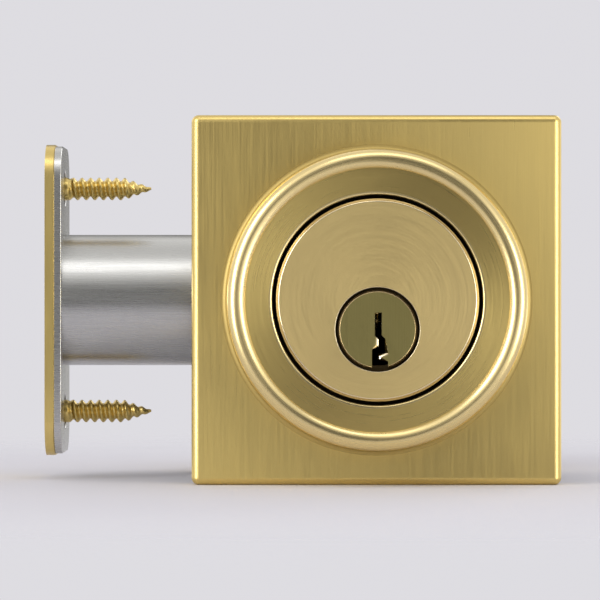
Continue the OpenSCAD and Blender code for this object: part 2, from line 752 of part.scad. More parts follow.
module turn_bushing()
    color("whitesmoke") difference() {
        union() {
            bar_y(bushing_flange_r, y_in - bushing_flange_t, y_in, z = spindle_z);
            bar_y(bushing_r, y_in - eps, y_in + liner_t, z = spindle_z);
        }
        bar_y(shaft_r + slip, y_in - 2, y_turn, z = spindle_z);
    }

// Dished washer that takes up the end play
module spring_washer()
    color("lightgray") translate([0, y_in - bushing_flange_t - slip, spindle_z])
        rotate([90, 0, 0]) rotate_extrude() polygon(
            [[shaft_r + 0.2, washer_rise], [8.6, 0], [8.6, washer_t],
             [shaft_r + 0.2, washer_rise + washer_t]]);

// Retaining ring on the turn's shaft, open at one side
module turn_clip()
    color("lightgray") slab_y(y_turn_clip - clip_t, y_turn_clip) translate([0, spindle_z])
        difference() {
            circle(r = shaft_r + 2.4);
            circle(r = shaft_r - 0.8 + slip);
            translate([-2.6, -20]) square([5.2, 20]);
        }

module thumb_turn() {
    tip = y_in + rose_depth + turn_reach;
    foot_half = turn_len / 2 - 4.5;
    // Side view of the grip, with its round tips: Z across and Y outwards
    grip = concat([[foot_half, y_turn + turn_hub_t - 1.2]],
                  arc(turn_len / 2 - 4, tip - 4, 4, -20, 90, 8),
                  arc(4 - turn_len / 2, tip - 4, 4, 90, 200, 8),
                  [[-foot_half, y_turn + turn_hub_t - 1.2]]);
    color("goldenrod") difference() {
        union() {
            bar_y(turn_hub_r, y_turn, y_turn + turn_hub_t - 1, z = spindle_z);
            cone_y(turn_hub_r, turn_hub_r - 1, y_turn + turn_hub_t - 1 - eps,
                   y_turn + turn_hub_t, z = spindle_z);
            bar_y(shaft_r, y_in - shaft_end, y_turn + eps, z = spindle_z);
            translate([-turn_t / 2, 0, spindle_z]) rotate([90, 0, 90])
                linear_extrude(turn_t) polygon([for (p = grip) [p[1], p[0]]]);
        }
        slab_y(y_in - shaft_end - 1, blade_end + 2) translate([0, spindle_z]) blade_section(0.2);
        difference() {
            bar_y(shaft_r + 1, y_turn_clip - clip_t - slip, y_turn_clip + slip, z = spindle_z);
            bar_y(shaft_r - 0.8, y_turn_clip - 2, y_turn_clip + 2, z = spindle_z);
        }
    }
}

// Long screws from the interior rose, through the case, into the housing's posts
module mounting_screws() {
    y_head = y_in + rose_depth;
    color("goldenrod") for (s = [-1, 1]) difference() {
        union() {
            bar_y(screw_d / 2, y_post_end - thread_grip, y_head + 0.5, s * post_x);
            cone_y(screw_d / 2, head_r, y_head - 1, y_head + 0.1, s * post_x);
            bar_y(head_r, y_head + 0.1 - eps, y_head + 0.5, s * post_x);
            cone_y(head_r, head_r - 1.6, y_head + 0.5 - eps, y_head + 1.5, s * post_x);
        }
        translate([s * post_x, y_head + 1.5, 0]) rotate([-90, 0, 0]) cross_recess(1.7);
    }
}

// ---------- Nodes ----------

exterior_rose();
exterior_liner();
bore_ring();
cylinder_housing();
cylinder_shell();
shell_clip();
chamber_cover();
cylinder_plug();
drill_pins();
plug_clip();
tailpiece();
tail_retainer();
for (i = [0:PIN_COUNT - 1]) {
    key_pin(i);
    driver_pin(i);
    pin_spring(i);
}
faceplate();
edge_plate();
edge_screws();
latch_tube();
case_plate(-case_half);  // case_plate_outer
case_plate(case_gap);  // case_plate_inner
case_rivets();
tube_rivets();
brake_spring();
drive_cam();
dead_bolt();
saw_pin();
bolt_tail();
bolt_tail_pins();
interior_rose();
interior_liner();
turn_bushing();
spring_washer();
turn_clip();
thumb_turn();
mounting_screws();
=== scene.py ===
"""Looks of the deadbolt: finer meshes, brushed-metal materials, floor, light and camera.

Everything is in metres, in the lock's own frame: -Y is the keyed outside, +Y the room side,
-X the door's edge and +Z up. Sizes that the frame doesn't give are named below, in metres.
"""
import json
import math

import bmesh
import bpy
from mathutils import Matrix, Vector


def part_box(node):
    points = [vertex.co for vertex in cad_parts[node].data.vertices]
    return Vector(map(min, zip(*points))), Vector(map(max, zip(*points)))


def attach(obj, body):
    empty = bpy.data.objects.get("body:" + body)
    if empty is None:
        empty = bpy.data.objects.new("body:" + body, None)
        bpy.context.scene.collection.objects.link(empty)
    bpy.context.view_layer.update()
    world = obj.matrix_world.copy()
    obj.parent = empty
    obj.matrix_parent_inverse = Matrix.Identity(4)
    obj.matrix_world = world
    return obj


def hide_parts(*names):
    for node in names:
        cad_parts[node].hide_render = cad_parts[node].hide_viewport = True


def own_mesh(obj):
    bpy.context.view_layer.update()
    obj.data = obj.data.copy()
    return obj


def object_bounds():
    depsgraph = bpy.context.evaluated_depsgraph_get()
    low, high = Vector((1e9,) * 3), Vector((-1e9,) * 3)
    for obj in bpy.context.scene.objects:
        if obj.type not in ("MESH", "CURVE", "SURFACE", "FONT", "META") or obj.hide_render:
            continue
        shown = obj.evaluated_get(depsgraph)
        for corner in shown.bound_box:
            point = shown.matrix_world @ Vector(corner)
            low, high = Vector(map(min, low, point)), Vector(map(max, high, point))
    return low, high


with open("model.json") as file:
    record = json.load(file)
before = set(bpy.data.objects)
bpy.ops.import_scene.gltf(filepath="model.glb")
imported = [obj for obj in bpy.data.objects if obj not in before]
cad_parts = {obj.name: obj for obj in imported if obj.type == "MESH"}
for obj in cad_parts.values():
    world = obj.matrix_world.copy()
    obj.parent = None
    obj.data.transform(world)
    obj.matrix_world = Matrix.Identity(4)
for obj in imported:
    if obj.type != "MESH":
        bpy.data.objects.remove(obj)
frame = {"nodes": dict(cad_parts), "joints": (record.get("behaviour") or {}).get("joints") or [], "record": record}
cad_box = [list(corner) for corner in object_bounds()]

MM = 0.001

# ---------------------------------------------------------------- measures shared by the pieces
BODY_OF = {node: body for body, nodes in frame["record"]["behaviour"]["bodies"].items()
           for node in nodes}
SLOT_OF = {row["node"]: row["material_slot"] for row in frame["record"]["subparts"]}
SPINDLE_Z = next(j for j in frame["joints"] if j["name"] == "cam_turn")["pos_m"][2]


def low(node):
    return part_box(node)[0]


def high(node):
    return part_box(node)[1]


def middle(node):
    return (low(node) + high(node)) / 2


# ---------------------------------------------------------------- materials
GRAIN_ALONG = 90.0      # how fast the brush lines change along the grain, per metre
GRAIN_ACROSS = 5200.0   # and across it
TURNED_ALONG = 1.5      # and along a turned grain, per radian
OFF_AXIS = (0.08, 0.104, 0.056)     # keeps a tangent from vanishing on faces that end the grain
GRAIN_TONE = 0.55       # how strongly the grain mixes a metal's two colours
TONE_FROM = 0.25        # the mix under which only the first colour shows
BLOTCH_SCALE = 55.0     # blotches per metre
GLOSS_LIMIT = 0.06      # the lowest roughness
GRAIN_RELIEF = 0.2 * MM
PIT_SCALE = 2600.0      # pits and clouds of a cast skin, per metre
CLOUD_SCALE = 90.0
CLOUD_SHADE = 0.82      # how dark its second tone is beside the first
PIT_SPREAD = 0.16       # the change in roughness from pit to pit
PIT_RELIEF = 0.1 * MM


def add_node(tree, kind, **settings):
    node = tree.nodes.new(kind)
    for name, value in settings.items():
        setattr(node, name, value)
    return node


def feed(tree, node, values):
    """Links each value to its socket if it is another node's output, and else sets it there."""
    for socket, value in zip(node.inputs, values):
        if value is None:
            continue
        if hasattr(value, "is_output"):
            tree.links.new(value, socket)
        else:
            socket.default_value = value


def math_node(tree, operation, first, second=None, clamp=False):
    node = add_node(tree, "ShaderNodeMath", operation=operation, use_clamp=clamp)
    feed(tree, node, (first, second))
    return node.outputs[0]


def vector_node(tree, operation, first, second=None):
    node = add_node(tree, "ShaderNodeVectorMath", operation=operation)
    feed(tree, node, (first, second))
    return node.outputs["Value" if operation == "LENGTH" else "Vector"]


def ramp(tree, value, start, end, low_value, high_value):
    """Output that goes smoothly from one value to another as the input goes from start to end."""
    node = add_node(tree, "ShaderNodeMapRange", interpolation_type="SMOOTHSTEP")
    tree.links.new(value, node.inputs["Value"])
    for socket, number in (("From Min", start), ("From Max", end), ("To Min", low_value),
                           ("To Max", high_value)):
        node.inputs[socket].default_value = number
    return node.outputs["Result"]


def new_material(name):
    material = bpy.data.materials.new(name)
    material.use_nodes = True
    return material, material.node_tree, material.node_tree.nodes["Principled BSDF"]


def noise(tree, place, scale, detail=2.0, roughness=0.5):
    node = add_node(tree, "ShaderNodeTexNoise")
    tree.links.new(place, node.inputs["Vector"])
    node.inputs["Scale"].default_value = scale
    node.inputs["Detail"].default_value = detail
    node.inputs["Roughness"].default_value = roughness
    return node.outputs["Fac"]


def two_tones(tree, shader, factor, colour, shade):
    tones = add_node(tree, "ShaderNodeMix", data_type="RGBA")
    tree.links.new(factor, tones.inputs["Factor"])
    tones.inputs["A"].default_value = (*colour, 1)
    tones.inputs["B"].default_value = (*shade, 1)
    tree.links.new(tones.outputs["Result"], shader.inputs["Base Color"])


def relief(tree, shader, height, strength, distance):
    node = add_node(tree, "ShaderNodeBump")
    node.inputs["Strength"].default_value = strength
    node.inputs["Distance"].default_value = distance
    tree.links.new(height, node.inputs["Height"])
    tree.links.new(node.outputs[0], shader.inputs["Normal"])
    return node


def grain_space(tree, grain, centre):
    """Texture coordinates that change fast across the grain and slowly along it, and the grain's
    direction. A grain is straight along x, y or z, or turned about a Y axis through centre."""
    place = add_node(tree, "ShaderNodeTexCoord").outputs["Object"]
    if grain != "turned":
        scale = [GRAIN_ACROSS] * 3
        scale["xyz".index(grain)] = GRAIN_ALONG
        direction = list(OFF_AXIS)
        direction["xyz".index(grain)] = 1.0
        return vector_node(tree, "MULTIPLY", place, scale), direction
    spoke = vector_node(tree, "MULTIPLY", vector_node(tree, "SUBTRACT", place, centre), (1, 0, 1))
    radius = vector_node(tree, "LENGTH", spoke)
    around = vector_node(tree, "CROSS_PRODUCT", (0, 1, 0), spoke)
    depth = add_node(tree, "ShaderNodeSeparateXYZ")
    tree.links.new(place, depth.inputs[0])
    across = add_node(tree, "ShaderNodeCombineXYZ")
    tree.links.new(math_node(tree, "MULTIPLY",
                             math_node(tree, "ADD", radius, depth.outputs["Y"]), GRAIN_ACROSS),
                   across.inputs["Y"])
    turn = vector_node(tree, "MULTIPLY", vector_node(tree, "NORMALIZE", spoke),
                       (TURNED_ALONG, 0, TURNED_ALONG))
    return vector_node(tree, "ADD", turn, across.outputs[0]), around


def metal(name, colour, shade, roughness, grain="z", centre=(0, 0, 0), anisotropic=0.5,
          spread=0.10, bump=0.05, patch=0.5, crown=0.0):
    """Brushed or turned metal. shade is the colour of its darker patches, spread the change in
    roughness from line to line, and patch how strongly the blotches mix the two colours. crown
    is how fast a pressed face's normal leans out sideways and in upwards, per metre, as on a
    plate that has sprung a little."""
    material, tree, shader = new_material(name)
    shader.inputs["Metallic"].default_value = 1.0
    shader.inputs["Anisotropic"].default_value = anisotropic
    place = add_node(tree, "ShaderNodeTexCoord").outputs["Object"]
    normal = add_node(tree, "ShaderNodeNewGeometry").outputs["Normal"]
    space, direction = grain_space(tree, grain, centre)
    lines = noise(tree, space, 1.0, detail=3.0, roughness=0.6)
    blotch = noise(tree, place, BLOTCH_SCALE, detail=4.0)

    # Colour: two tones mixed by the blotches and, more faintly, by the grain
    amount = math_node(tree, "ADD", math_node(tree, "MULTIPLY", blotch, patch),
                       math_node(tree, "MULTIPLY", lines, GRAIN_TONE))
    two_tones(tree, shader, math_node(tree, "SUBTRACT", amount, TONE_FROM, clamp=True),
              colour, shade)

    # Roughness: changes from line to line and, half as much, from blotch to blotch
    uneven = math_node(tree, "MULTIPLY", math_node(tree, "SUBTRACT", lines, 0.5), 2 * spread)
    hazy = math_node(tree, "MULTIPLY", math_node(tree, "SUBTRACT", blotch, 0.5), spread)
    rough = math_node(tree, "ADD", math_node(tree, "ADD", uneven, hazy), roughness)
    tree.links.new(math_node(tree, "MAXIMUM", rough, GLOSS_LIMIT), shader.inputs["Roughness"])

    scratches = relief(tree, shader, lines, bump, GRAIN_RELIEF)
    if crown:
        lean = vector_node(tree, "MULTIPLY", place, (crown, 0, -crown))
        tree.links.new(vector_node(tree, "NORMALIZE", vector_node(tree, "ADD", normal, lean)),
                       scratches.inputs["Normal"])
    # Brushing scatters light across the grain, so the wide side of the highlight lies across it
    tree.links.new(vector_node(tree, "CROSS_PRODUCT", normal, direction),
                   shader.inputs["Tangent"])
    return material


def cast(name, colour, roughness, pits=0.25):
    """As-cast or moulded skin: fine pits and soft blotches."""
    material, tree, shader = new_material(name)
    place = add_node(tree, "ShaderNodeTexCoord").outputs["Object"]
    skin = noise(tree, place, PIT_SCALE, detail=5.0)
    cloud = noise(tree, place, CLOUD_SCALE)
    two_tones(tree, shader, cloud, colour, [c * CLOUD_SHADE for c in colour])
    rough = math_node(tree, "ADD", roughness - PIT_SPREAD / 2,
                      math_node(tree, "MULTIPLY", skin, PIT_SPREAD))
    tree.links.new(rough, shader.inputs["Roughness"])
    relief(tree, shader, skin, pits, PIT_RELIEF)
    return material, shader


BRASS = (0.77, 0.585, 0.215)
BRASS_SHADE = (0.61, 0.46, 0.15)
STEEL = (0.62, 0.615, 0.60)
STEEL_SHADE = (0.46, 0.46, 0.45)

flat_brass = metal("flat_brass", BRASS, BRASS_SHADE, 0.33, grain="z", anisotropic=0.3, crown=2.4)
straight_brass = metal("straight_brass", BRASS, BRASS_SHADE, 0.33, grain="z", anisotropic=0.3)
turned_brass = metal("turned_brass", BRASS, BRASS_SHADE, 0.30, grain="turned", anisotropic=0.7)
bead_brass = metal("bead_brass", (0.85, 0.69, 0.36), BRASS, 0.27, grain="turned",
                   anisotropic=0.3, bump=0.02)
# Painted shade: darker brass in the cove round the boss's foot, where shade falls
shaded_cove_brass = metal("shaded_cove_brass", (0.52, 0.39, 0.14), (0.40, 0.30, 0.10), 0.5, grain="turned",
                   anisotropic=0.1)
face_brass = metal("face_brass", (0.84, 0.65, 0.285), (0.68, 0.52, 0.215), 0.40,
                   grain="turned", anisotropic=0.15)
plug_brass = metal("plug_brass", (0.44, 0.375, 0.145), (0.24, 0.205, 0.07), 0.33, grain="z",
                   anisotropic=0.3, patch=0.8)
bright_brass = metal("bright_brass", (0.88, 0.75, 0.50), (0.78, 0.64, 0.40), 0.17,
                     grain="turned", anisotropic=0.1, bump=0.02)
# Painted shade: near-black brass for the gaps, bores and hollows where shade falls
painted_shade_brass = metal("painted_shade_brass", (0.08, 0.055, 0.024), (0.03, 0.022, 0.01), 0.5, grain="turned",
                   anisotropic=0.1)
machined = metal("machined_brass", (0.62, 0.46, 0.21), (0.46, 0.34, 0.15), 0.27,
                 grain="turned", centre=(0, 0, SPINDLE_Z))
machined_edge = metal("machined_edge", (0.80, 0.62, 0.32), (0.66, 0.50, 0.24), 0.2,
                      grain="turned", centre=(0, 0, SPINDLE_Z), bump=0.02)
plated = metal("plated_steel", STEEL, STEEL_SHADE, 0.28, grain="x", anisotropic=0.3, patch=0.8)
steel_edge = metal("steel_edge", (0.78, 0.775, 0.76), STEEL, 0.18, grain="x", anisotropic=0.2,
                   bump=0.02)
bolt_steel = metal("bolt_steel", (0.68, 0.665, 0.64), (0.54, 0.53, 0.51), 0.25, grain="x",
                   anisotropic=0.6)
spring_steel = metal("spring_steel", (0.42, 0.42, 0.43), (0.28, 0.28, 0.29), 0.28, grain="x",
                     anisotropic=0.2)
pin_steel = metal("pin_steel", (0.72, 0.70, 0.64), (0.58, 0.56, 0.51), 0.2, grain="y",
                  anisotropic=0.3)
hard_steel = metal("hard_steel", (0.24, 0.24, 0.25), (0.14, 0.14, 0.15), 0.3, grain="x",
                   anisotropic=0.4)
cast_alloy, cast_shader = cast("cast_alloy", (0.46, 0.46, 0.45), 0.5)
cast_shader.inputs["Metallic"].default_value = 1.0
nylon, nylon_shader = cast("nylon", (0.80, 0.78, 0.71), 0.42, pits=0.1)
nylon_shader.inputs["Subsurface Weight"].default_value = 0.15
nylon_shader.inputs["Subsurface Scale"].default_value = 0.001

# The finish of each material slot: its faces, then its rounded, rubbed edges
FINISH = {
    "satin_brass": (straight_brass, bead_brass), "face_brass": (face_brass, bright_brass),
    "plug_brass": (plug_brass, bright_brass), "machined_brass": (machined, machined_edge),
    "cast_alloy": (cast_alloy, cast_alloy), "plated_steel": (plated, steel_edge),
    "bolt_steel": (bolt_steel, steel_edge), "spring_steel": (spring_steel, spring_steel),
    "pin_steel": (pin_steel, steel_edge), "hard_steel": (hard_steel, hard_steel),
    "nylon": (nylon, nylon),
}


# ---------------------------------------------------------------- mesh helpers
TOUCHING = 1e-6         # points nearer than this are one, in metres
FLAT_ANGLE = 0.6        # faces that meet within this many degrees are one flat face
CREASE = 28             # edges sharper than this many degrees are rounded


def link(name, bm, materials, smooth_angle=35):
    """Makes a piece of a bmesh, shaded smooth except over edges sharper than the angle."""
    bmesh.ops.recalc_face_normals(bm, faces=bm.faces)
    for edge in bm.edges:
        sharp = len(edge.link_faces) == 2 and edge.calc_face_angle() > math.radians(smooth_angle)
        edge.smooth = not sharp
    for face in bm.faces:
        face.smooth = True
    mesh = bpy.data.meshes.new(name)
    bm.to_mesh(mesh)
    bm.free()
    piece = bpy.data.objects.new(name, mesh)
    bpy.context.scene.collection.objects.link(piece)
    for material in materials:
        mesh.materials.append(material)
    return piece


def stand_for(piece, node):
    """The piece takes a CAD node's place and body."""
    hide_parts(node)
    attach(piece, BODY_OF[node])
    return piece


def cad_mesh(node):
    """A CAD node's mesh with its flat faces merged."""
    bm = bmesh.new()
    bm.from_mesh(frame["nodes"][node].data)
    bmesh.ops.remove_doubles(bm, verts=bm.verts, dist=TOUCHING)
    bmesh.ops.dissolve_limit(bm, angle_limit=math.radians(FLAT_ANGLE), verts=bm.verts,
                             edges=bm.edges)
    return bm


def close_rings(bm, rings, loop=False, cap_start=False, cap_end=False, material_of=None):
    """Joins rings of points, all with the same count, with quads."""
    made = [[bm.verts.new(point) for point in ring] for ring in rings]
    count = len(made[0])
    pairs = list(zip(made, made[1:]))
    if loop:
        pairs.append((made[-1], made[0]))
    for number, (a, b) in enumerate(pairs):
        for i in range(count):
            j = (i + 1) % count
            face = bm.faces.new((a[i], a[j], b[j], b[i]))
            if material_of:
                face.material_index = material_of(number)
    if cap_start:
        bm.faces.new(made[0])
    if cap_end:
        bm.faces.new(made[-1])


def circle(radius, y, count, centre=(0.0, 0.0)):
    return [Vector((centre[0] + radius * math.cos(2 * math.pi * i / count), y,
                    centre[1] + radius * math.sin(2 * math.pi * i / count)))
            for i in range(count)]


def rounded_square(half, corner, y, count):
    """Square with round corners, its points spread by angle so that it joins a circle well."""
    points = []
    corner = max(corner, TOUCHING)
    flat = half - corner
    per_corner = count // 8
    per_side = count // 4 - per_corner
    for quarter in range(4):
        turn = math.pi / 2 * quarter
        for k in range(per_side):
            t = -flat + 2 * flat * k / per_side
            points.append((half, t, turn))
        for k in range(per_corner):
            a = math.pi / 2 * k / per_corner
            points.append((flat + corner * math.cos(a), flat + corner * math.sin(a), turn))
    return [Vector((x * math.cos(t) - z * math.sin(t), y, x * math.sin(t) + z * math.cos(t)))
            for x, z, t in points]


def arc(cx, cy, radius, start, end, steps):
    """Points of an arc in (radius, height), angles in degrees."""
    return [(cx + radius * math.cos(math.radians(start + (end - start) * i / steps)),
             cy + radius * math.sin(math.radians(start + (end - start) * i / steps)))
            for i in range(steps + 1)]


def round_edges(piece, width, angle=CREASE, segments=3, miter="MITER_ARC"):
    """Rounds the edges sharper than an angle and gives them the piece's second material."""
    bevel = piece.modifiers.new("rounded", "BEVEL")
    bevel.width = width
    bevel.segments = segments
    bevel.limit_method = "ANGLE"
    bevel.angle_limit = math.radians(angle)
    bevel.harden_normals = True
    bevel.material = 1
    bevel.miter_outer = miter


def finer(node, width):
    """A copy of a CAD node's mesh with its sharp edges rounded."""
    piece = link("fine_" + node, cad_mesh(node), FINISH[SLOT_OF[node]], smooth_angle=CREASE)
    round_edges(piece, width)
    return stand_for(piece, node)


# ---------------------------------------------------------------- outside rose
ROSE_DEPTH = 6.5 * MM           # the plate's front, from the door
ROSE_WALL = 1.5 * MM
ROSE_EDGE = 1.3 * MM            # its outline's rounding
ROSE_INNER_CORNER = 0.4 * MM
ROSE_FRONT_CORNER = 0.02 * MM
BOSS_R = 26.6 * MM
BOSS_ROOF = 2.0 * MM            # the boss's wall in front
RIM_R = 1.8 * MM                # the rolled rim's rounding
COVE_R = 1.0 * MM               # the rounding between plate and boss
DISH_DROP = 0.8 * MM            # the dished ring, below the rim's top and from its edge to the hole
DISH_SLOPE = 0.3 * MM
HOLE_R = 18.5 * MM
HOLE_EDGE = 0.5 * MM
RINGS_APART = 0.15 * MM         # support rings this near a bend keep the flat beside it flat
ROSE_POINTS = 320
# BACK is painted shade, near-black brass on the hole's wall and inside; COVE is painted shade, darker brass round
# the boss's foot
PLATE, DISH, BEAD, BACK, COVE = range(5)    # the rose's materials, in their order below


def circle_by_angle(radius, y, ring):
    """Points of a circle in the same directions as a ring's points."""
    return [Vector((p.x, 0, p.z)).normalized() * radius + Vector((0, y, 0)) for p in ring]


def exterior_rose():
    node = "exterior_rose"
    half = (high(node).x - low(node).x) / 2
    inner = half - ROSE_WALL
    door = high(node).y
    rim_top = door - low(node).y
    face = ROSE_DEPTH
    dish = rim_top - DISH_DROP
    lip = dish - DISH_SLOPE
    fall = math.degrees(math.acos(1 - DISH_DROP / RIM_R))

    # Square part, from the inner corner out and over to the flat front
    squares = [(inner, ROSE_INNER_CORNER, face - ROSE_WALL), (inner, ROSE_INNER_CORNER, 0),
               (half, ROSE_EDGE, 0)]
    for inset, height in arc(ROSE_EDGE, face - ROSE_EDGE, ROSE_EDGE, 180, 90, 8):
        squares.append((half - inset, ROSE_EDGE - inset, height))
    squares.append((half - ROSE_EDGE - RINGS_APART, ROSE_FRONT_CORNER, face))
    rings = [rounded_square(size, corner, door - height, ROSE_POINTS)
             for size, corner, height in squares]
    outline = rings[-1]
    seat = circle_by_angle(BOSS_R + COVE_R + RINGS_APART, door - face, outline)
    rings += [[a.lerp(b, t) for a, b in zip(outline, seat)] for t in (0.5, 1.0)]

    # Round part: cove, side, rolled rim, dished ring, edge of the hole and back inside; the cove, the hole's wall
    # and the inside get darker brass as painted shade
    cove = arc(BOSS_R + COVE_R, face + COVE_R, COVE_R, 270, 180, 8)
    rim = arc(BOSS_R - RIM_R, rim_top - RIM_R, RIM_R, 0, 90 + fall, 20)
    ring_start = rim[-1][0] - RINGS_APART
    ring_end = HOLE_R + HOLE_EDGE + RINGS_APART
    hole = arc(HOLE_R + HOLE_EDGE, lip - HOLE_EDGE, HOLE_EDGE, 90, 180, 6)
    behind = [(HOLE_R, lip - BOSS_ROOF), (BOSS_R - ROSE_WALL, lip - BOSS_ROOF),
              (BOSS_R - ROSE_WALL, face - ROSE_WALL)]
    finishes = [PLATE] * (len(rings) - 1)
    for points, finish in ((cove, COVE), (rim, BEAD),
                           ([(ring_start, dish), (ring_end, lip)], DISH),
                           (hole, BEAD), (behind, BACK)):
        for radius, height in points:
            rings.append(circle_by_angle(radius, door - height, outline))
            finishes.append(finish)
    finishes.append(BACK)
    bm = bmesh.new()
    close_rings(bm, rings, loop=True, material_of=lambda number: finishes[number])
    piece = link("rose_outside", bm,
                 [flat_brass, turned_brass, bead_brass, painted_shade_brass, shaded_cove_brass], 30)
    return stand_for(piece, node)


# ---------------------------------------------------------------- thumb turn
TURN_FACE = 31.25 * MM          # the room side rose's boss, which the hub turns on
TURN_HUB_R = 9.4 * MM
TURN_HUB_T = 3.6 * MM
TURN_HUB_EDGE = 1.2 * MM
TURN_HUB_CHAMFER = 0.3 * MM
TURN_SHAFT_R = 5.5 * MM
TURN_SHAFT_CHAMFER = 0.4 * MM
TURN_GROOVE_R = 4.7 * MM
TURN_GROOVE_PLAY = 0.05 * MM    # between the clip and each side of its groove
TURN_POINTS = 96
SOCKET_R = 3.3 * MM             # the blade's socket, round with two flats
SOCKET_HALF = 1.5 * MM
SOCKET_END = 28.25 * MM
GRIP_HALF_T = 3.8 * MM
GRIP_FOOT = 12.5 * MM           # half the grip's length at its foot
GRIP_SUNK = 1.2 * MM            # how far the foot starts inside the hub
GRIP_WAIST = 0.7 * MM           # how far the grip's sides are pulled in half way up
GRIP_TIP_R = 4.0 * MM           # the tip's rounding in length and in thickness
GRIP_TOP_R = 1.9 * MM
GRIP_TIP_FROM = -20             # the angle that the tip's arc starts at, in degrees
GRIP_TIP_END = (0.5 * MM, 0.4 * MM)     # the flat left on top is this much shorter and thinner
GRIP_SQUARE = 3.2               # 2 is an oval grip, more is squarer
GRIP_ROWS = 12


def thumb_turn():
    node = "thumb_turn"
    start, tip = low(node).y, high(node).y
    half_length = (high(node).z - low(node).z) / 2
    hub_top = TURN_FACE + TURN_HUB_T
    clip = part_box("turn_clip")
    groove = (clip[0].y - TURN_GROOVE_PLAY, clip[1].y + TURN_GROOVE_PLAY)
    bm = bmesh.new()

    def round_ring(radius, y):
        return circle(radius, y, TURN_POINTS, (0, SPINDLE_Z))

    def socket(y):
        ring = []
        for i in range(TURN_POINTS):
            a = 2 * math.pi * i / TURN_POINTS
            radius = min(SOCKET_R, SOCKET_HALF / max(abs(math.cos(a)), TOUCHING))
            ring.append(Vector((radius * math.cos(a), y, SPINDLE_Z + radius * math.sin(a))))
        return ring

    profile = [(TURN_SHAFT_R - TURN_SHAFT_CHAMFER, start),
               (TURN_SHAFT_R, start + TURN_SHAFT_CHAMFER)]
    profile += [(TURN_SHAFT_R, groove[0]), (TURN_GROOVE_R, groove[0]),
                (TURN_GROOVE_R, groove[1]), (TURN_SHAFT_R, groove[1]),
                (TURN_SHAFT_R, TURN_FACE), (TURN_HUB_R - TURN_HUB_CHAMFER, TURN_FACE),
                (TURN_HUB_R, TURN_FACE + TURN_HUB_CHAMFER)]
    profile += arc(TURN_HUB_R - TURN_HUB_EDGE, hub_top - TURN_HUB_EDGE, TURN_HUB_EDGE, 0, 90, 8)
    profile += [(TURN_HUB_R - TURN_HUB_EDGE - RINGS_APART, hub_top), (2 * MM, hub_top)]
    rings = [socket(SOCKET_END), socket(start)] + [round_ring(r, y) for r, y in profile]
    close_rings(bm, rings, cap_start=True, cap_end=True)

    def oval(length, width, y):
        ring = []
        for i in range(TURN_POINTS):
            a = 2 * math.pi * i / TURN_POINTS
            c, s = math.cos(a), math.sin(a)
            x = math.copysign(abs(c) ** (2 / GRIP_SQUARE), c) * width
            z = math.copysign(abs(s) ** (2 / GRIP_SQUARE), s) * length
            ring.append(Vector((x, y, SPINDLE_Z + z)))
        return ring

    tip_foot = math.radians(GRIP_TIP_FROM)
    shoulder = (half_length - GRIP_TIP_R + GRIP_TIP_R * math.cos(tip_foot),
                tip - GRIP_TIP_R + GRIP_TIP_R * math.sin(tip_foot))
    grip = []
    for k in range(GRIP_ROWS + 1):
        t = k / GRIP_ROWS
        length = GRIP_FOOT + (shoulder[0] - GRIP_FOOT) * t
        y = hub_top - GRIP_SUNK + (shoulder[1] - hub_top + GRIP_SUNK) * t
        grip.append((length, GRIP_HALF_T - GRIP_WAIST * math.sin(math.pi * t), y))
    for k in range(1, GRIP_ROWS + 1):
        a = tip_foot + (math.pi / 2 - tip_foot) * k / GRIP_ROWS
        y = tip - GRIP_TIP_R + GRIP_TIP_R * math.sin(a)
        over = max(0.0, y - (tip - GRIP_TOP_R))
        width = GRIP_HALF_T - GRIP_TOP_R + math.sqrt(max(GRIP_TOP_R ** 2 - over ** 2, 0.0))
        grip.append((half_length - GRIP_TIP_R + GRIP_TIP_R * math.cos(a), width, y))
    grip.append((grip[-1][0] - GRIP_TIP_END[0], grip[-1][1] - GRIP_TIP_END[1], tip))
    close_rings(bm, [oval(*row) for row in grip], cap_start=True, cap_end=True)
    piece = link("turn_grip", bm, [straight_brass], smooth_angle=40)
    return stand_for(piece, node)


# ---------------------------------------------------------------- coils and threads
COIL_SIDES = 10         # points round the wire
COIL_STEPS = 22         # and along one turn of it
COIL_CLOSED = 0.8       # turns at each end that lie on the next
THREAD_POINTS = 48      # points round a screw
THREAD_ROWS = 10        # and along one pitch of it
HEAD_LAP = 0.05 * MM    # how far a head's shank is kept past the thread's start
SCREW_POINT = 0.12      # a taper ends in this share of the screw's radius
CREST_SLOPE = 1.6       # a thread's profile, from root to crest and back in one pitch
ROOT_FLAT = 0.3


def coil(name, node, turns, wire):
    """Compression spring along Z in a CAD node's box, its end coils closed."""
    bottom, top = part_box(node)
    centre = middle(node)
    mean = (top.y - bottom.y) / 2 - wire
    span = top.z - bottom.z - 2 * wire
    end = COIL_CLOSED * 2 * wire / span
    rings = []
    for i in range(turns * COIL_STEPS + 1):
        t = i / COIL_STEPS
        share = end + (1 - 2 * end) * (t - COIL_CLOSED) / (turns - 2 * COIL_CLOSED)
        if t < COIL_CLOSED:
            share = t * 2 * wire / span
        elif t > turns - COIL_CLOSED:
            share = 1 - (turns - t) * 2 * wire / span
        out = Vector((math.cos(2 * math.pi * t), math.sin(2 * math.pi * t), 0))
        hub = Vector((centre.x, centre.y, bottom.z + wire + span * share)) + out * mean
        rings.append([hub + out * wire * math.cos(b) + Vector((0, 0, wire * math.sin(b)))
                      for b in (2 * math.pi * j / COIL_SIDES for j in range(COIL_SIDES))])
    bm = bmesh.new()
    close_rings(bm, rings, cap_start=True, cap_end=True)
    return link(name, bm, [spring_steel], smooth_angle=50)


